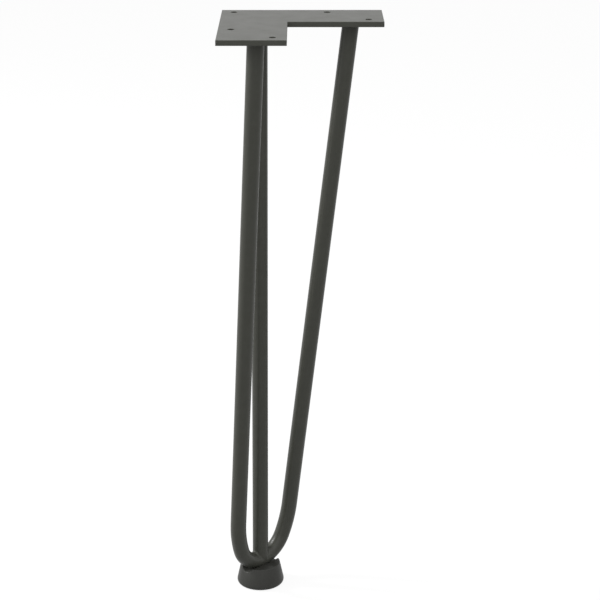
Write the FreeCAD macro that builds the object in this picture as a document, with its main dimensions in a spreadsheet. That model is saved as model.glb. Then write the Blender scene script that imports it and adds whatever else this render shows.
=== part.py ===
import FreeCAD, Part
import math
import os
import Sketcher

# Hairpin table leg: an L-shaped plate, a round bar bent into a hairpin, a third straight bar and a cap.
# Millimetres, +Z up. The origin is on the plate's top face, straight above the middle of the foot.
# The plate's outer corner lies at -X +Y of it. The front arm runs from there along -Y, the other along +X.
# The leg is the same on both sides of the plate's diagonal.

drivingSizes = {
    "plateSide": 120,           # outer edge of each arm
    "armWidth": 49.5,
    "plateThickness": 4,
    "holeDiameter": 5,
    "holeInset": 9.5,           # holes along the outer edges, from the edge
    "holeSpacing": 69.5,        # from the corner hole to the next one along an outer edge
    "endHoleInset": 11,         # hole by each arm's end, from that end
    "innerHoleInset": 10,       # the same hole, from the arm's inner edge
    "legHeight": 450,           # plate's top face to the underside of the bend
    "rodDiameter": 12.5,
    "rodEdgeInset": 27.4,       # hairpin's ends under the arms, from the outer edge
    "rodEndInset": 23.8,        # the same ends, from the arm's end
    "footInset": 26.4,          # middle of the foot, from both outer edges
    "centreRodInset": 28.5,     # third rod's top, from both outer edges
    "bendRadius": 24.3,         # round the foot, to the rod's centreline
    "flankRadius": 87,          # from the tight bend up to the straight legs
    "flankStart": 68.5,         # degrees of tight bend on each side
    "copeLand": 1,              # blunt end left on the third rod's cope
    "weldRoot": 1,              # how far a bead's slope runs on inside the rod before it is cut away
    "plateWeldLeg": 3.5,
    "webRadius": 1.8,           # hollow face of the weld in the corners between the third rod and the bend
    "webReach": 8.4,            # of that weld, out from the third rod's axis
    "webWidth": 8,
    "capHeight": 17.7,
    "capDrop": 14,              # underside of the bend to the floor
    "capTopDiameter": 31.5,
    "capBaseDiameter": 39.2,    # where the cap's slope would reach the floor
    "capEdgeRadius": 3.2,
}

doc = FreeCAD.newDocument("HairpinLeg")
sheet = doc.addObject("Spreadsheet::Sheet", "Sizes")
for row, (alias, number) in enumerate(drivingSizes.items(), 1):
    sheet.set(f"A{row}", alias)
    sheet.set(f"B{row}", str(number))
    sheet.setAlias(f"B{row}", alias)
doc.recompute()

# Lengths that follow from the sheet, as expressions
rodRadius = "(Sizes.rodDiameter / 2)"
legReach = "(Sizes.plateSide - Sizes.rodEndInset)"
footLevel = f"(Sizes.legHeight - {rodRadius})"
fall = f"({footLevel} - Sizes.plateThickness)"
legOut = f"((({legReach} + Sizes.rodEdgeInset) / 2 - Sizes.footInset) * sqrt(2))"
legSpread = f"(({legReach} - Sizes.rodEdgeInset) / sqrt(2))"
legRise = f"sqrt(pow({fall}; 2) + pow({legOut}; 2))"
centreOut = "((Sizes.centreRodInset - Sizes.footInset) * sqrt(2))"
centreRise = f"sqrt(pow({fall}; 2) + pow({centreOut}; 2))"
holeEndReach = "(Sizes.plateSide - Sizes.endHoleInset)"
holeInnerReach = "(Sizes.armWidth - Sizes.innerHoleInset)"


def valueOf(expression):
    found = sheet.evalExpression(expression)
    return float(getattr(found, "Value", found))


def leaning(outward):
    """Turns +Z from upright to leaning along the plate's diagonal, by outward over the fall of the leg."""
    return f"rotationz(45) * rotationx(atan2({outward}; {fall}))"


# The third rod's own axis, from the middle of the bend up to the plate
centreAxis = f"placement(vector(0; 0; -{footLevel}); {leaning(centreOut)})"


def newBody(name):
    return doc.addObject("PartDesign::Body", name)


def newSketch(body, name, plane):
    """A sketch on one of the body's own origin planes."""
    sketch = body.newObject("Sketcher::SketchObject", name)
    origin = [item for item in body.Origin.OriginFeatures if item.Role == plane][0]
    sketch.AttachmentSupport = [(origin, "")]
    sketch.MapMode = "FlatFace"
    return sketch


def dimension(sketch, kind, places, expression):
    """A dimension of the sketch, bound to an expression."""
    index = sketch.addConstraint(Sketcher.Constraint(kind, *places, valueOf(expression)))
    sketch.setExpression(f"Constraints[{index}]", expression)


def angleDimension(sketch, places, expression):
    index = sketch.addConstraint(Sketcher.Constraint("Angle", *places, math.radians(valueOf(expression))))
    sketch.setExpression(f"Constraints[{index}]", expression)


def joinedLines(sketch, points):
    """A closed outline of straight lines; the horizontal and vertical ones are held so."""
    lines = []
    for start, end in zip(points, points[1:] + points[:1]):
        segment = Part.LineSegment(FreeCAD.Vector(*start, 0), FreeCAD.Vector(*end, 0))
        line = sketch.addGeometry(segment, False)
        lines.append(line)
        if start[1] == end[1]:
            sketch.addConstraint(Sketcher.Constraint("Horizontal", line))
        elif start[0] == end[0]:
            sketch.addConstraint(Sketcher.Constraint("Vertical", line))
    for line, following in zip(lines, lines[1:] + lines[:1]):
        sketch.addConstraint(Sketcher.Constraint("Coincident", line, 2, following, 1))
    return lines


def turnedBody(body, profile, name):
    """The body with its profile turned once round the profile's upright axis."""
    turned = body.newObject("PartDesign::Revolution", name)
    turned.Profile = profile
    turned.ReferenceAxis = (profile, ["V_Axis"])
    turned.Angle = 360
    doc.recompute()
    return body


def cutAway(name, base, tool):
    cut = doc.addObject("Part::Cut", name)
    cut.Base = base
    cut.Tool = tool
    return cut


def mountingPlate():
    """Flat L with two equal arms and five plain screw holes, its top face at z = 0."""
    body = newBody("PlateBody")
    body.setExpression("Placement.Base.x", "-Sizes.footInset")
    body.setExpression("Placement.Base.y", "Sizes.footInset")
    side = valueOf("Sizes.plateSide")
    arm = valueOf("Sizes.armWidth")
    outline = newSketch(body, "PlateOutline", "XY_Plane")
    corners = [(0, 0), (side, 0), (side, -arm), (arm, -arm), (arm, -side), (0, -side)]
    lines = joinedLines(outline, corners)
    outline.addConstraint(Sketcher.Constraint("Coincident", lines[0], 1, -1, 1))
    dimension(outline, "DistanceX", (lines[0], 1, lines[0], 2), "Sizes.plateSide")
    dimension(outline, "DistanceY", (lines[1], 2, lines[1], 1), "Sizes.armWidth")
    dimension(outline, "DistanceX", (lines[4], 2, lines[4], 1), "Sizes.armWidth")
    dimension(outline, "DistanceY", (lines[5], 1, lines[5], 2), "Sizes.plateSide")
    pad = body.newObject("PartDesign::Pad", "PlateThickness")
    pad.Profile = outline
    pad.Reversed = True
    pad.setExpression("Length", "Sizes.plateThickness")
    doc.recompute()
    solidVolume = body.Shape.Volume

    outer = "Sizes.holeInset"
    spaced = "(Sizes.holeInset + Sizes.holeSpacing)"
    places = [(outer, outer), (spaced, outer), (outer, spaced)]
    places += [(holeInnerReach, holeEndReach), (holeEndReach, holeInnerReach)]
    drilled = newSketch(body, "ScrewHoles", "XY_Plane")
    for across, down in places:
        centre = FreeCAD.Vector(valueOf(across), -valueOf(down), 0)
        up = FreeCAD.Vector(0, 0, 1)
        circle = drilled.addGeometry(Part.Circle(centre, up, valueOf("Sizes.holeDiameter / 2")), False)
        dimension(drilled, "DistanceX", (-1, 1, circle, 3), across)
        dimension(drilled, "DistanceY", (circle, 3, -1, 1), down)
        dimension(drilled, "Radius", (circle,), "Sizes.holeDiameter / 2")
    holes = body.newObject("PartDesign::Pocket", "DrilledHoles")
    holes.Profile = drilled
    holes.Type = "ThroughAll"
    doc.recompute()
    oneHole = math.pi / 4 * valueOf("pow(Sizes.holeDiameter; 2) * Sizes.plateThickness")
    if abs(solidVolume - body.Shape.Volume - len(places) * oneHole) > 0.01 * oneHole:
        raise RuntimeError("the screw holes don't go through the plate")
    body.Label = "mounting_plate"
    return body


def bentBar():
    """Half of the hairpin swept from the bottom of the bend up one leg, then mirrored.

    The body's own frame has the bottom of the bend at its origin and the hairpin in its XZ plane."""
    body = newBody("BentBar")
    body.setExpression("Placement", f"placement(vector(0; 0; -{footLevel}); {leaning(legOut)})")
    path = newSketch(body, "HairpinLine", "XZ_Plane")
    tight = valueOf("Sizes.bendRadius")
    wide = valueOf("Sizes.flankRadius")
    start = math.radians(valueOf("Sizes.flankStart"))
    spread = valueOf(legSpread)
    rise = valueOf(legRise)
    flankX = (tight - wide) * math.sin(start)
    flankZ = tight + (wide - tight) * math.cos(start)
    splay = math.asin((flankX + wide) / rise) / 2
    quarter = math.pi / 2
    up = FreeCAD.Vector(0, 0, 1)
    tightCircle = Part.Circle(FreeCAD.Vector(0, tight, 0), up, tight)
    wideCircle = Part.Circle(FreeCAD.Vector(flankX, flankZ, 0), up, wide)
    bend = path.addGeometry(Part.ArcOfCircle(tightCircle, -quarter, start - quarter), False)
    flank = path.addGeometry(Part.ArcOfCircle(wideCircle, start - quarter, -splay), False)
    foot = FreeCAD.Vector(flankX + wide * math.cos(splay), flankZ - wide * math.sin(splay), 0)
    leg = path.addGeometry(Part.LineSegment(foot, FreeCAD.Vector(spread, rise, 0)), False)
    seat = path.addGeometry(Part.Point(FreeCAD.Vector(spread, rise, 0)), True)
    path.addConstraint(Sketcher.Constraint("Coincident", bend, 1, -1, 1))
    path.addConstraint(Sketcher.Constraint("PointOnObject", bend, 3, -2))
    path.addConstraint(Sketcher.Constraint("Tangent", bend, 2, flank, 1))
    path.addConstraint(Sketcher.Constraint("Tangent", flank, 2, leg, 1))
    path.addConstraint(Sketcher.Constraint("PointOnObject", seat, 1, leg))
    dimension(path, "Radius", (bend,), "Sizes.bendRadius")
    dimension(path, "Radius", (flank,), "Sizes.flankRadius")
    angleDimension(path, (bend,), "Sizes.flankStart")
    dimension(path, "DistanceX", (-1, 1, seat, 1), legSpread)
    dimension(path, "DistanceY", (-1, 1, seat, 1), legRise)
    # The bar is swept one diameter past the plate's underside and is trimmed there later
    dimension(path, "DistanceY", (-1, 1, leg, 2), f"{legRise} + Sizes.rodDiameter")

    section = newSketch(body, "BarSection", "YZ_Plane")
    circle = section.addGeometry(Part.Circle(FreeCAD.Vector(0, 0, 0), up, valueOf(rodRadius)), False)
    section.addConstraint(Sketcher.Constraint("Coincident", circle, 3, -1, 1))
    dimension(section, "Radius", (circle,), rodRadius)
    doc.recompute()
    half = body.newObject("PartDesign::AdditivePipe", "HairpinHalf")
    half.Profile = section
    half.Spine = path
    doc.recompute()
    swept = path.Shape.Length * math.pi * valueOf(rodRadius) ** 2
    if abs(half.Shape.Volume - swept) > 0.001 * swept:
        raise RuntimeError("the swept bar doesn't have its section times its length")
    whole = body.newObject("PartDesign::Mirrored", "HairpinWhole")
    whole.Originals = [half]
    middle = [item for item in body.Origin.OriginFeatures if item.Role == "YZ_Plane"][0]
    whole.MirrorPlane = (middle, [""])
    body.Tip = whole
    doc.recompute()
    if abs(body.Shape.Volume - 2 * swept) > 0.001 * swept:
        raise RuntimeError("the hairpin isn't twice its half")
    return body


def blockAboveUnderside():
    """All that is above the plate's underside, to trim the rods flush with it."""
    block = doc.addObject("Part::Box", "AboveUnderside")
    block.setExpression("Length", "3 * Sizes.plateSide")
    block.setExpression("Width", "3 * Sizes.plateSide")
    block.setExpression("Height", "Sizes.plateThickness + 3 * Sizes.rodDiameter")
    block.setExpression("Placement.Base.x", "-1.5 * Sizes.plateSide")
    block.setExpression("Placement.Base.y", "-1.5 * Sizes.plateSide")
    block.setExpression("Placement.Base.z", "-Sizes.plateThickness")
    return block


def centreRod(hairpin, block):
    """Straight rod with a mitred top and a lower end coped to the inside of the bend."""
    bar = doc.addObject("Part::Cylinder", "StraightBar")
    bar.setExpression("Radius", rodRadius)
    bar.setExpression("Height", f"{centreRise} + Sizes.rodDiameter")
    bar.setExpression("Placement", f"{centreAxis} * placement(vector(0; 0; Sizes.copeLand); rotationz(0))")
    mitred = cutAway("StraightBarMitred", bar, block)
    coped = cutAway("StraightBarCoped", mitred, hairpin)
    coped.Label = "centre_rod"
    return coped


def plateWeld(label, across, down, rod):
    """Fillet bead in the corner between a rod and the plate's underside."""
    slope = doc.addObject("Part::Cone", "Slope_" + label)
    slope.setExpression("Radius1", f"{rodRadius} - Sizes.weldRoot")
    slope.setExpression("Radius2", f"{rodRadius} + Sizes.plateWeldLeg")
    slope.setExpression("Height", "Sizes.plateWeldLeg + Sizes.weldRoot")
    slope.setExpression("Placement.Base.x", f"{across} - Sizes.footInset")
    slope.setExpression("Placement.Base.y", f"Sizes.footInset - {down}")
    slope.setExpression("Placement.Base.z", "-(Sizes.plateThickness + Sizes.plateWeldLeg + Sizes.weldRoot)")
    bead = cutAway("Bead_" + label, slope, rod)
    bead.Label = label
    return bead


def bendWeld(hairpin, straight):
    """A web of weld metal on each side, in the corner between the third rod and the inside of the bend.

    A web is a round post with its top hollowed by a cylinder that touches both rods, less the rods."""
    out = f"({rodRadius} + Sizes.webRadius)"
    rise = f"(Sizes.bendRadius - sqrt(pow(Sizes.bendRadius - {out}; 2) - pow({out}; 2)))"
    webs = []
    for name, turn in (("Front", 0), ("Side", 180)):
        corner = f"{centreAxis} * placement(vector(0; 0; 0); rotationz({turn}))"
        post = doc.addObject("Part::Cylinder", name + "WebPost")
        post.setExpression("Radius", "Sizes.webWidth / 2")
        post.setExpression("Height", rise)
        inward = "placement(vector(Sizes.webWidth / 2 - Sizes.webReach; 0; 0); rotationz(0))"
        post.setExpression("Placement", f"{corner} * {inward}")
        hollow = doc.addObject("Part::Cylinder", name + "WebHollow")
        hollow.setExpression("Radius", "Sizes.webRadius")
        hollow.setExpression("Height", "2 * Sizes.webWidth")
        across = f"placement(vector(-{out}; Sizes.webWidth; {rise}); rotationx(90))"
        hollow.setExpression("Placement", f"{corner} * {across}")
        webs.append(cutAway(name + "Web", post, hollow))
    pair = doc.addObject("Part::MultiFuse", "WebPair")
    pair.Shapes = webs
    aroundBend = cutAway("WebsAroundBend", pair, hairpin)
    metal = cutAway("BendWeldWebs", aroundBend, straight)
    metal.Label = "weld_bend"
    return metal


def footCap():
    """Cap that widens to a rounded base. The bend rests on the floor of a groove across its top."""
    body = newBody("CapBody")
    body.setExpression("Placement.Base.z", "-(Sizes.legHeight + Sizes.capDrop)")
    top = valueOf("Sizes.capTopDiameter / 2")
    base = valueOf("Sizes.capBaseDiameter / 2")
    height = valueOf("Sizes.capHeight")
    profile = newSketch(body, "CapProfile", "XZ_Plane")
    lines = joinedLines(profile, [(0, 0), (base, 0), (top, height), (0, height)])
    profile.addConstraint(Sketcher.Constraint("Coincident", lines[0], 1, -1, 1))
    dimension(profile, "DistanceX", (lines[0], 1, lines[0], 2), "Sizes.capBaseDiameter / 2")
    dimension(profile, "DistanceX", (lines[2], 2, lines[2], 1), "Sizes.capTopDiameter / 2")
    dimension(profile, "DistanceY", (lines[3], 2, lines[3], 1), "Sizes.capHeight")
    turned = turnedBody(body, profile, "TurnedCap").Tip
    lowest = [number for number, edge in enumerate(turned.Shape.Edges, 1)
              if isinstance(edge.Curve, Part.Circle) and abs(edge.Curve.Radius - base) < 1e-6]
    rounded = body.newObject("PartDesign::Fillet", "CapBaseEdge")
    rounded.Base = (turned, [f"Edge{number}" for number in lowest])
    rounded.setExpression("Radius", "Sizes.capEdgeRadius")
    groove = doc.addObject("Part::Cylinder", "CapGroove")
    groove.setExpression("Radius", rodRadius)
    groove.setExpression("Height", "2 * Sizes.capBaseDiameter")
    alongBend = f"placement(vector(0; 0; -{footLevel}); rotationz(45) * rotationy(90))"
    back = "placement(vector(0; 0; -Sizes.capBaseDiameter); rotationz(0))"
    groove.setExpression("Placement", f"{alongBend} * {back}")
    cap = cutAway("CapGrooved", body, groove)
    cap.Label = "foot_cap"
    return cap


plate = mountingPlate()
bar = bentBar()
trimBlock = blockAboveUnderside()
hairpinRod = cutAway("HairpinMitred", bar, trimBlock)
hairpinRod.Label = "hairpin_rod"
straightRod = centreRod(bar, trimBlock)
frontWeld = plateWeld("weld_front_rod", "Sizes.rodEdgeInset", legReach, hairpinRod)
sideWeld = plateWeld("weld_side_rod", legReach, "Sizes.rodEdgeInset", hairpinRod)
centreInset = "Sizes.centreRodInset"
centreWeld = plateWeld("weld_centre_rod", centreInset, centreInset, straightRod)
crotchWeld = bendWeld(hairpinRod, straightRod)
cap = footCap()
nodes = [plate, hairpinRod, straightRod, frontWeld, sideWeld, centreWeld, crotchWeld, cap]

doc.recompute()
for item in doc.Objects:
    if "Invalid" in item.State or "Error" in item.State:
        raise RuntimeError(f"{item.Name} failed: {item.State}")
for node in nodes:
    if node.Shape.isNull() or not node.Shape.isValid():
        raise RuntimeError(f"{node.Label} has no valid shape")
    if len(node.Shape.Solids) != (2 if node is crotchWeld else 1):
        raise RuntimeError(f"{node.Label} has {len(node.Shape.Solids)} solids")

os.makedirs("parts", exist_ok=True)
for node in nodes:
    node.Shape.exportStep(f"parts/{node.Label}.step")
    box = node.Shape.optimalBoundingBox(False, False)
    print(f"{node.Label}: {node.Shape.Volume:.1f} mm3, z {box.ZMin:.2f} to {box.ZMax:.2f}")
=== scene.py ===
# Hairpin table leg: the coated steel, its welds and the plastic foot cap. Metres, +Z up.
# The origin is on the plate's top face, straight above the middle of the foot.
from math import acos, asin, atan2, cos, hypot, pi, radians, sin, sqrt, tan

import bmesh
import bpy
from mathutils import Matrix, Vector


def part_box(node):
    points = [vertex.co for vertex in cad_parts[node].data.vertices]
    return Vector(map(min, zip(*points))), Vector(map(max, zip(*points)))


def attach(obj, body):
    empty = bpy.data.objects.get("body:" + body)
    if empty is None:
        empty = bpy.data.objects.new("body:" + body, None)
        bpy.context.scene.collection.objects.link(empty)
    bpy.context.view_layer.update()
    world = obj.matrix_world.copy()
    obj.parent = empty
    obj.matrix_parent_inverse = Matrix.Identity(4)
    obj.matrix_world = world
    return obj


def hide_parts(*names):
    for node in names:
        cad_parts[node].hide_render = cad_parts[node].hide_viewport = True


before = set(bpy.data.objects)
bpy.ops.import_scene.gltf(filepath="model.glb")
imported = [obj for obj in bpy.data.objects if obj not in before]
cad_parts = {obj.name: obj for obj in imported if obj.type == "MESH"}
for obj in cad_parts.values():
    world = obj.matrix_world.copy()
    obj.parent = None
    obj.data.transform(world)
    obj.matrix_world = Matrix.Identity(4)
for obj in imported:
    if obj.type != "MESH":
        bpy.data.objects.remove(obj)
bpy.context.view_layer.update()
print("frame loaded:", ", ".join(sorted(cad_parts)))

plateLow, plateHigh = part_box("mounting_plate")
capLow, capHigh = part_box("foot_cap")
undersideLevel = plateLow.z
floorLevel = capLow.z

mergeGap = 0.000002
mirrorGap = 0.00001
levelGap = 0.0001       # heights that differ by less are one level

rods = {
    "diameter": 0.0125,
    "sides": 64,
    "legHeight": 0.45,          # plate's top face to the underside of the bend
    "edgeInset": 0.0274,        # hairpin's ends under the arms, from the plate's outer edge
    "endInset": 0.0238,         # the same ends, from the arm's end
    "centreInset": 0.0285,      # third rod's top, from both outer edges
    "bendRadius": 0.0243,       # round the foot, to the hairpin's centreline
}
rodRadius = rods["diameter"] / 2
footLevel = rodRadius - rods["legHeight"]
fall = undersideLevel - footLevel
plateSide = plateHigh.x - plateLow.x
footInset = -plateLow.x
legReach = plateSide - rods["endInset"]
legOut = ((legReach + rods["edgeInset"]) / 2 - footInset) * sqrt(2)
legSpread = (legReach - rods["edgeInset"]) / sqrt(2)
hairpinLean = atan2(legOut, fall)
centreOut = (rods["centreInset"] - footInset) * sqrt(2)
centreLean = atan2(centreOut, fall)


def only(piece):
    bpy.ops.object.select_all(action="DESELECT")
    piece.select_set(True)
    bpy.context.view_layer.objects.active = piece
    return piece


def named(name):        # the primitive that was just added
    piece = only(bpy.context.active_object)
    piece.name = name
    piece.data.name = name
    return piece


def editWhole(piece):
    only(piece)
    bpy.ops.object.mode_set(mode="EDIT")
    bpy.ops.mesh.select_all(action="SELECT")


def leaveEdit():
    bpy.ops.object.mode_set(mode="OBJECT")


def selectWhere(piece, kind, test):     # kind is verts, edges or faces; test says which
    shape = bmesh.from_edit_mesh(piece.data)
    bpy.ops.mesh.select_all(action="DESELECT")
    for item in getattr(shape, kind):
        if test(item):
            item.select_set(True)
    bmesh.update_edit_mesh(piece.data)


def applied(piece, kind, **settings):
    only(piece)
    bpy.ops.object.modifier_add(type=kind)
    modifier = piece.modifiers[-1]
    for setting, value in settings.items():
        setattr(modifier, setting, value)
    bpy.ops.object.modifier_apply(modifier=modifier.name)


def cutBy(piece, cutter, mode="DIFFERENCE"):
    applied(piece, "BOOLEAN", object=cutter, operation=mode, solver="EXACT")


def softened(piece, radius, steps):     # rounds every sharp edge
    applied(piece, "BEVEL", width=radius, segments=steps, limit_method="ANGLE", angle_limit=radians(40),
            use_clamp_overlap=False)


def trimmed(piece, height):     # cuts off all that is above a level and closes the cut
    editWhole(piece)
    bpy.ops.mesh.bisect(plane_co=(0, 0, height), plane_no=(0, 0, 1), use_fill=True, clear_outer=True)
    leaveEdit()


def outward(piece):
    editWhole(piece)
    bpy.ops.mesh.remove_doubles(threshold=mergeGap)
    bpy.ops.mesh.normals_make_consistent(inside=False)
    leaveEdit()


def placed(piece, location=(0, 0, 0), rotation=(0, 0, 0)):     # into the mesh, so the object stays put
    only(piece)
    piece.location = location
    piece.rotation_euler = rotation
    bpy.ops.object.transform_apply(location=True, rotation=True, scale=True)


def melted(piece, grain, rounds):       # one closed skin whose corners have flowed out
    applied(piece, "REMESH", mode="VOXEL", voxel_size=grain)
    applied(piece, "SMOOTH", factor=0.5, iterations=rounds)


def copied(piece, name):
    only(piece)
    bpy.ops.object.duplicate(linked=False)
    return named(name)


def discard(*pieces):
    for piece in pieces:
        bpy.data.objects.remove(piece)


def finished(piece, material, slotName, *nodes, smoothAngle=35):
    only(piece)
    bpy.ops.object.shade_smooth_by_angle(angle=radians(smoothAngle))
    piece.data.materials.clear()
    piece.data.materials.append(material)
    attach(piece, "root")
    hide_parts(*nodes)
    print("made", piece.name, len(piece.data.polygons), "faces")


class Nodes:        # a material's nodes, added and joined by name
    def __init__(self, name):
        self.material = bpy.data.materials.new(name)
        self.material.use_nodes = True
        self.tree = self.material.node_tree
        self.shader = self.tree.nodes["Principled BSDF"]
        self.coordinates = self.add("ShaderNodeTexCoord").outputs["Object"]

    def add(self, kind, **settings):
        node = self.tree.nodes.new(kind)
        for setting, value in settings.items():
            setattr(node, setting, value)
        return node

    def join(self, source, target):
        self.tree.links.new(source, target)

    def noise(self, size, detail=2, roughness=0.5):      # size is that of its spots, in metres
        node = self.add("ShaderNodeTexNoise")
        node.inputs["Scale"].default_value = 1 / size
        node.inputs["Detail"].default_value = detail
        node.inputs["Roughness"].default_value = roughness
        self.join(self.coordinates, node.inputs["Vector"])
        return node.outputs["Fac"]

    def spread(self, source, low, high, start=0.3, end=0.7):
        node = self.add("ShaderNodeMapRange")
        node.inputs["From Min"].default_value = start
        node.inputs["From Max"].default_value = end
        node.inputs["To Min"].default_value = low
        node.inputs["To Max"].default_value = high
        self.join(source, node.inputs["Value"])
        return node.outputs["Result"]

    def blendColours(self, factor, first, second):
        node = self.add("ShaderNodeMix", data_type="RGBA")
        self.join(factor, node.inputs["Factor"])
        node.inputs[6].default_value = (*first, 1)
        node.inputs[7].default_value = (*second, 1)
        return node.outputs[2]

    def bump(self, height, depth, under=None):
        node = self.add("ShaderNodeBump")
        node.inputs["Distance"].default_value = depth
        self.join(height, node.inputs["Height"])
        if under is not None:
            self.join(under, node.inputs["Normal"])
        return node.outputs["Normal"]


def powderCoat():
    coat = {
        "darkTone": (0.0342, 0.035, 0.0288),
        "lightTone": (0.0383, 0.0391, 0.0328),
        "smoothest": 0.33,
        "roughest": 0.37,
        "toneSize": 0.006,
        "cloudSize": 0.015,
        "peelSize": 0.0011,         # orange peel of the melted powder
        "peelDepth": 0.000008,
        "grainSize": 0.00022,
        "grainDepth": 0.0000015,
        "refraction": 1.28,
    }
    nodes = Nodes("dark_powder_coat")
    tone = nodes.spread(nodes.noise(coat["toneSize"], detail=4), 0, 1)
    colour = nodes.blendColours(tone, coat["darkTone"], coat["lightTone"])
    nodes.join(colour, nodes.shader.inputs["Base Color"])
    cloud = nodes.noise(coat["cloudSize"], detail=3)
    nodes.join(nodes.spread(cloud, coat["smoothest"], coat["roughest"]), nodes.shader.inputs["Roughness"])
    grain = nodes.bump(nodes.noise(coat["grainSize"], detail=2), coat["grainDepth"])
    peel = nodes.bump(nodes.noise(coat["peelSize"], detail=1), coat["peelDepth"], grain)
    nodes.join(peel, nodes.shader.inputs["Normal"])
    nodes.shader.inputs["IOR"].default_value = coat["refraction"]
    return nodes.material


def mouldedPlastic():
    plastic = {
        "darkTone": (0.017, 0.0172, 0.0148),
        "lightTone": (0.02, 0.0203, 0.0178),
        "smoothest": 0.42,
        "roughest": 0.5,
        "cloudSize": 0.009,
        "sparkSize": 0.0007,        # fine spark-eroded texture of the mould
        "sparkDepth": 0.000012,
        "refraction": 1.33,
    }
    nodes = Nodes("moulded_cap_plastic")
    cloud = nodes.noise(plastic["cloudSize"], detail=3)
    tone = nodes.spread(cloud, 0, 1)
    colour = nodes.blendColours(tone, plastic["darkTone"], plastic["lightTone"])
    nodes.join(colour, nodes.shader.inputs["Base Color"])
    sheen = nodes.spread(cloud, plastic["smoothest"], plastic["roughest"])
    nodes.join(sheen, nodes.shader.inputs["Roughness"])
    spark = nodes.bump(nodes.noise(plastic["sparkSize"], detail=3, roughness=0.6), plastic["sparkDepth"])
    nodes.join(spark, nodes.shader.inputs["Normal"])
    nodes.shader.inputs["IOR"].default_value = plastic["refraction"]
    return nodes.material


def mountingPlate(material):
    plate = {
        "armWidth": 0.0495,
        "holeDiameter": 0.005,
        "holeInset": 0.0095,        # holes along the outer edges, from the edge
        "holeSpacing": 0.0695,
        "endHoleInset": 0.011,      # hole by each arm's end, from that end
        "innerHoleInset": 0.01,     # the same hole, from the arm's inner edge
        "edgeRadius": 0.0004,       # left by the coat on the cut edges
        "edgeSteps": 3,
        "holeSides": 48,
        "drillLength": 0.02,
    }
    middle = (plateLow + plateHigh) / 2
    innerX = plateLow.x + plate["armWidth"]
    innerY = plateHigh.y - plate["armWidth"]
    bpy.ops.mesh.primitive_plane_add(size=plateSide, location=(middle.x, middle.y, plateHigh.z))
    piece = named("mountingPlate")
    placed(piece, piece.location.copy())
    editWhole(piece)
    bpy.ops.mesh.bisect(plane_co=(innerX, 0, 0), plane_no=(1, 0, 0))
    bpy.ops.mesh.select_all(action="SELECT")
    bpy.ops.mesh.bisect(plane_co=(0, innerY, 0), plane_no=(0, 1, 0))

    def inNotch(face):
        centre = face.calc_center_median()
        return centre.x > innerX and centre.y < innerY

    selectWhere(piece, "faces", inNotch)
    bpy.ops.mesh.delete(type="FACE")
    bpy.ops.mesh.select_all(action="SELECT")
    bpy.ops.mesh.extrude_region_move(TRANSFORM_OT_translate={"value": (0, 0, plateLow.z - plateHigh.z)})
    leaveEdit()
    outward(piece)

    outer = plate["holeInset"]
    spaced = plate["holeInset"] + plate["holeSpacing"]
    endReach = plateSide - plate["endHoleInset"]
    innerReach = plate["armWidth"] - plate["innerHoleInset"]
    places = [(outer, outer), (spaced, outer), (outer, spaced)]
    places += [(innerReach, endReach), (endReach, innerReach)]
    for across, down in places:
        bpy.ops.mesh.primitive_cylinder_add(
            vertices=plate["holeSides"], radius=plate["holeDiameter"] / 2, depth=plate["drillLength"],
            location=(plateLow.x + across, plateHigh.y - down, middle.z))
        drill = named("drill")
        cutBy(piece, drill)
        discard(drill)
    softened(piece, plate["edgeRadius"], plate["edgeSteps"])
    finished(piece, material, "powder_coat", "mounting_plate")
    applied(piece, "WEIGHTED_NORMAL", keep_sharp=True, weight=100)
    return piece


def hairpinRod(material):
    hairpin = {
        "bendAngle": 68.5,          # degrees of tight bend on each side
        "bendSteps": 40,
        "flankRadius": 0.087,       # from the tight bend up to the straight legs
        "flankSteps": 20,
        "legSteps": 12,
    }
    tight = rods["bendRadius"]
    wide = hairpin["flankRadius"]
    turned = radians(hairpin["bendAngle"])
    flankX = (tight - wide) * sin(turned)
    flankZ = tight + (wide - tight) * cos(turned)
    rise = hypot(fall, legOut)
    reach = Vector((legSpread - flankX, rise - flankZ))
    splay = acos(wide / reach.length) - atan2(reach.y, reach.x)     # straight leg from the middle line
    legStart = Vector((flankX + wide * cos(splay), 0, flankZ - wide * sin(splay)))
    legEnd = Vector((legSpread, 0, rise)) + Vector((sin(splay), 0, cos(splay))) * rods["diameter"]

    bpy.ops.mesh.primitive_circle_add(vertices=rods["sides"], radius=rodRadius, rotation=(0, pi / 2, 0))
    piece = named("hairpinRod")
    placed(piece, rotation=(0, pi / 2, 0))
    editWhole(piece)
    bpy.ops.mesh.spin(steps=hairpin["bendSteps"], angle=turned, center=(0, 0, tight), axis=(0, 1, 0))
    bpy.ops.mesh.spin(steps=hairpin["flankSteps"], angle=pi / 2 - splay - turned,
                      center=(flankX, 0, flankZ), axis=(0, 1, 0))
    part = (legEnd - legStart) / hairpin["legSteps"]
    for step in range(hairpin["legSteps"]):
        bpy.ops.mesh.extrude_region_move(TRANSFORM_OT_translate={"value": part})
    leaveEdit()
    applied(piece, "MIRROR", use_axis=(True, False, False), use_mirror_merge=True, merge_threshold=mirrorGap)
    placed(piece, (0, 0, footLevel), (hairpinLean, 0, pi / 4))
    trimmed(piece, undersideLevel)
    outward(piece)
    finished(piece, material, "powder_coat", "hairpin_rod")
    return piece


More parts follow.
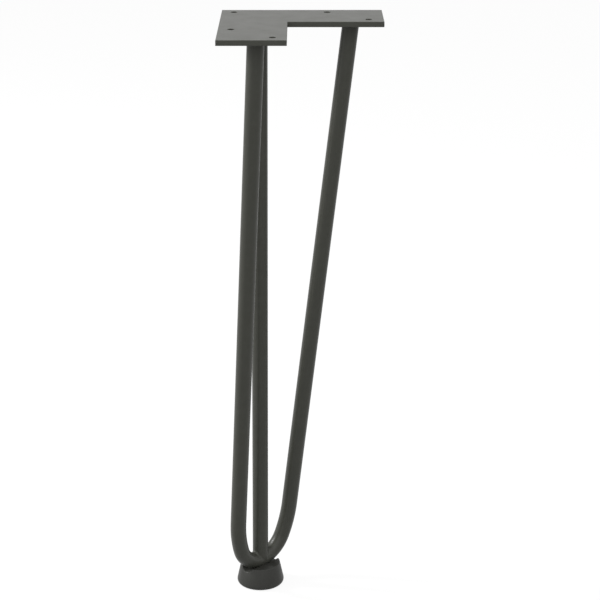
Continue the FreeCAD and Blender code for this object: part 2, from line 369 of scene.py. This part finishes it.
def centreRod(material, hairpin):
    centre = {
        "start": 0.001,         # above the bend's centreline, before the cope is cut
        "lengths": 14,
    }
    bpy.ops.mesh.primitive_circle_add(vertices=rods["sides"], radius=rodRadius, fill_type="NGON")
    piece = named("centreRod")
    placed(piece, (0, 0, centre["start"]))
    part = (0, 0, (hypot(fall, centreOut) + rods["diameter"]) / centre["lengths"])
    editWhole(piece)
    for step in range(centre["lengths"]):
        bpy.ops.mesh.extrude_region_move(TRANSFORM_OT_translate={"value": part})
    leaveEdit()
    outward(piece)
    placed(piece, (0, 0, footLevel), (centreLean, 0, pi / 4))
    trimmed(piece, undersideLevel)
    cutBy(piece, hairpin)
    finished(piece, material, "powder_coat", "centre_rod")
    return piece


def weldRun(name, places, drop):       # drops laid over each other along a seam, melted into one bead
    bpy.ops.mesh.primitive_uv_sphere_add(
        segments=drop["sides"], ring_count=drop["rings"], radius=drop["radius"])
    first = named(name)
    drops = []
    for spot, turn in places:
        laid = copied(first, name + "Drop")
        pressed = Matrix.Diagonal((1, 1, drop["flatness"], 1))
        laid.matrix_world = Matrix.Translation(spot) @ turn @ pressed
        drops.append(laid)
    discard(first)
    only(drops[0])
    for laid in drops:
        laid.select_set(True)
    bpy.ops.object.join()
    bead = named(name)
    placed(bead, bead.location.copy(), bead.rotation_euler.copy())
    melted(bead, drop["grain"], drop["melting"])
    return bead


def plateWeld(name, node, across, down, rod, material):
    drop = {
        "count": 30,
        "sides": 20,
        "rings": 12,
        "radius": 0.0031,
        "flatness": 0.78,
        "offset": 0.00045,      # of each drop's middle, out of the corner
        "grain": 0.00024,
        "melting": 3,
        "clearing": 0.0375,     # side of the block that takes off what is above the seam
    }
    corner = Vector((plateLow.x + across, plateHigh.y - down, undersideLevel))
    places = []
    for number in range(drop["count"]):
        around = 2 * pi * number / drop["count"]
        out = Vector((cos(around), sin(around), 0))
        spot = corner + out * (rodRadius + drop["offset"]) - Vector((0, 0, drop["offset"]))
        facing = (out - Vector((0, 0, 1))).to_track_quat("Z", "Y").to_matrix().to_4x4()
        places.append((spot, facing))
    bead = weldRun(name, places, drop)
    bpy.ops.mesh.primitive_cube_add(
        size=drop["clearing"], location=corner + Vector((0, 0, drop["clearing"] / 2)))
    above = named("above")
    cutBy(bead, above)
    discard(above)
    cutBy(bead, rod)
    finished(bead, material, "powder_coat", node, smoothAngle=60)
    return bead


def bendWeld(hairpin, centre, material):
    # Two elbows tangent to both rods, melted with the metal of the rods beside them
    web = {
        "hollowRadius": 0.0018,     # of the web's face, in the bend's plane
        "width": 0.0088,
        "steps": 48,
        "sides": 96,
        "top": 0.013,               # of the melted metal, above the bend's centreline
        "grain": 0.0003,
        "melting": 24,
    }
    out = rodRadius + web["hollowRadius"]
    reach = rods["bendRadius"] - out
    rise = rods["bendRadius"] - sqrt(reach ** 2 - out ** 2)
    bpy.ops.mesh.primitive_circle_add(vertices=web["sides"], radius=rodRadius, fill_type="NGON")
    piece = named("bendWeld")
    placed(piece, (0, 0, rise))
    editWhole(piece)
    bpy.ops.transform.resize(value=(1, web["width"] / rods["diameter"], 1), center_override=(0, 0, rise))
    sweep = pi / 2 + asin(out / reach)
    bpy.ops.mesh.spin(steps=web["steps"], angle=sweep, center=(out, 0, rise), axis=(0, 1, 0))
    leaveEdit()
    outward(piece)
    other = copied(piece, "otherWeb")
    placed(other, rotation=(0, 0, pi))
    cutBy(piece, other, "UNION")
    discard(other)
    placed(piece, (0, 0, footLevel), (centreLean, 0, pi / 4))
    ends = [copied(rod, "weldedEnd") for rod in (hairpin, centre)]
    for end in ends:
        trimmed(end, footLevel + web["top"])
    only(piece)
    for end in ends:
        end.select_set(True)
    bpy.ops.object.join()
    melted(piece, web["grain"], web["melting"])
    finished(piece, material, "powder_coat", "weld_bend", smoothAngle=50)
    return piece


def footCap(material):
    cap = {
        "baseDiameter": 0.0392,     # where the slope would reach the floor
        "topDiameter": 0.0315,
        "sides": 128,
        "baseRadius": 0.0032,
        "baseSteps": 12,
        "edgeRadius": 0.0004,       # round the top and along the groove that the bend rests in
        "edgeSteps": 3,
    }
    height = capHigh.z - capLow.z
    base = cap["baseDiameter"] / 2
    top = cap["topDiameter"] / 2
    bpy.ops.mesh.primitive_circle_add(vertices=cap["sides"], radius=base, fill_type="NGON")
    piece = named("footCap")
    placed(piece, (0, 0, capLow.z))
    editWhole(piece)
    bpy.ops.mesh.extrude_region_move(TRANSFORM_OT_translate={"value": (0, 0, height)})
    bpy.ops.transform.resize(value=(top / base, top / base, 1), center_override=(0, 0, capHigh.z))
    selectWhere(piece, "edges", lambda edge: all(vert.co.z < capLow.z + levelGap for vert in edge.verts))
    corner = atan2(height, base - top) / 2
    bpy.ops.mesh.bevel(offset=cap["baseRadius"] / tan(corner), segments=cap["baseSteps"], profile=0.5)
    leaveEdit()
    outward(piece)
    bpy.ops.mesh.primitive_cylinder_add(
        vertices=rods["sides"], radius=rodRadius, depth=cap["baseDiameter"] * 2)
    groove = named("groove")
    placed(groove, (0, 0, footLevel), (pi / 2, 0, -pi / 4))
    cutBy(piece, groove)
    discard(groove)
    softened(piece, cap["edgeRadius"], cap["edgeSteps"])
    finished(piece, material, "cap_plastic", "foot_cap")
    return piece


def studio():
    room = {
        "floorSide": 14,
        "floorTone": 0.12,
        "glow": 0.88,               # the floor's white that no shadow dims
        "shadowShare": 0.09,        # and what the lamps add, so the shadow stays soft
        "worldLevel": 0.92,
    }
    bpy.ops.mesh.primitive_plane_add(size=room["floorSide"], location=(0, 0, floorLevel))
    floor = named("studioFloor")
    paint = bpy.data.materials.new("pale_floor")
    paint.use_nodes = True
    tree = paint.node_tree
    tree.nodes.clear()
    output = tree.nodes.new("ShaderNodeOutputMaterial")
    bounced = tree.nodes.new("ShaderNodeBsdfDiffuse")
    bounced.inputs["Color"].default_value = (room["floorTone"],) * 3 + (1,)
    shaded = tree.nodes.new("ShaderNodeBsdfDiffuse")
    shaded.inputs["Color"].default_value = (room["shadowShare"],) * 3 + (1,)
    glow = tree.nodes.new("ShaderNodeEmission")
    glow.inputs["Color"].default_value = (1, 1, 1, 1)
    glow.inputs["Strength"].default_value = room["glow"]
    white = tree.nodes.new("ShaderNodeAddShader")
    tree.links.new(shaded.outputs[0], white.inputs[0])
    tree.links.new(glow.outputs[0], white.inputs[1])
    seen = seenRays(tree)
    chosen = tree.nodes.new("ShaderNodeMixShader")
    tree.links.new(seen, chosen.inputs[0])
    tree.links.new(bounced.outputs[0], chosen.inputs[1])
    tree.links.new(white.outputs[0], chosen.inputs[2])
    sideOf = tree.nodes.new("ShaderNodeNewGeometry")      # the floor is clear from below
    clear = tree.nodes.new("ShaderNodeBsdfTransparent")
    oneSided = tree.nodes.new("ShaderNodeMixShader")
    tree.links.new(sideOf.outputs["Backfacing"], oneSided.inputs[0])
    tree.links.new(chosen.outputs[0], oneSided.inputs[1])
    tree.links.new(clear.outputs[0], oneSided.inputs[2])
    tree.links.new(oneSided.outputs[0], output.inputs["Surface"])
    floor.data.materials.append(paint)

    world = bpy.data.worlds.new("studio")
    bpy.context.scene.world = world
    world.use_nodes = True
    tree = world.node_tree
    tree.nodes.clear()
    output = tree.nodes.new("ShaderNodeOutputWorld")
    soft = tree.nodes.new("ShaderNodeBackground")
    soft.inputs["Color"].default_value = (1, 1, 1, 1)
    soft.inputs["Strength"].default_value = room["worldLevel"]
    white = tree.nodes.new("ShaderNodeBackground")
    white.inputs["Color"].default_value = (1, 1, 1, 1)
    white.inputs["Strength"].default_value = 1
    chosen = tree.nodes.new("ShaderNodeMixShader")
    tree.links.new(seenRays(tree), chosen.inputs[0])
    tree.links.new(soft.outputs[0], chosen.inputs[1])
    tree.links.new(white.outputs[0], chosen.inputs[2])
    tree.links.new(chosen.outputs[0], output.inputs["Surface"])


def seenRays(tree):        # 1 for rays from the camera and for those that gloss or glass sends on
    path = tree.nodes.new("ShaderNodeLightPath")
    total = path.outputs["Is Camera Ray"]
    for kind in ("Is Glossy Ray", "Is Transmission Ray"):
        either = tree.nodes.new("ShaderNodeMath")
        either.operation = "MAXIMUM"
        tree.links.new(total, either.inputs[0])
        tree.links.new(path.outputs[kind], either.inputs[1])
        total = either.outputs[0]
    return total


def lamp(name, place, target, size, power):
    bpy.ops.object.light_add(type="AREA", location=place)
    light = named(name)
    light.data.shape = "RECTANGLE"
    light.data.size = size[0]
    light.data.size_y = size[1]
    light.data.energy = power
    light.rotation_euler = (Vector(target) - Vector(place)).to_track_quat("-Z", "Y").to_euler()
    return light


def lamps():
    middle = (0, 0, (plateHigh.z + floorLevel) / 2)
    foot = (0, 0, footLevel)
    lights = [      # name, place, target, width and height, watts
        ("keyLamp", (-1.73, -0.88, 0.25), middle, (2.2, 2), 16),
        ("fillLamp", (1.33, -0.77, 1.06), middle, (2, 2), 14),
        ("frontLamp", (0, -1.81, 0.75), middle, (2.4, 2), 16),
        ("stripLamp", (-1.53, 0.26, 0.8), foot, (0.2, 0.7), 44),
    ]
    for light in lights:
        lamp(*light)


def mainCamera():
    view = {
        "place": (0.0322, -1.3639, 0.24443),
        "downward": 18.8515,        # degrees below the horizon
        "lens": 111.416,
        "sensor": 36,
        "sight": 50,                # how far the camera sees
    }
    bpy.ops.object.camera_add(location=view["place"], rotation=(radians(90 - view["downward"]), 0, 0))
    camera = bpy.context.active_object
    camera.name = "mainCamera"
    camera.data.sensor_width = view["sensor"]
    camera.data.lens = view["lens"]
    camera.data.clip_end = view["sight"]
    bpy.context.scene.camera = camera


bpy.ops.object.select_all(action="DESELECT")
mainCamera()
studio()
lamps()
bpy.context.scene.view_settings.view_transform = "Standard"
print("camera, floor and lamps set")

coat = powderCoat()
plastic = mouldedPlastic()
mountingPlate(coat)
hairpin = hairpinRod(coat)
centre = centreRod(coat, hairpin)
plateWeld("frontRodWeld", "weld_front_rod", rods["edgeInset"], legReach, hairpin, coat)
plateWeld("sideRodWeld", "weld_side_rod", legReach, rods["edgeInset"], hairpin, coat)
plateWeld("centreRodWeld", "weld_centre_rod", rods["centreInset"], rods["centreInset"], centre, coat)
bendWeld(hairpin, centre, coat)
footCap(plastic)
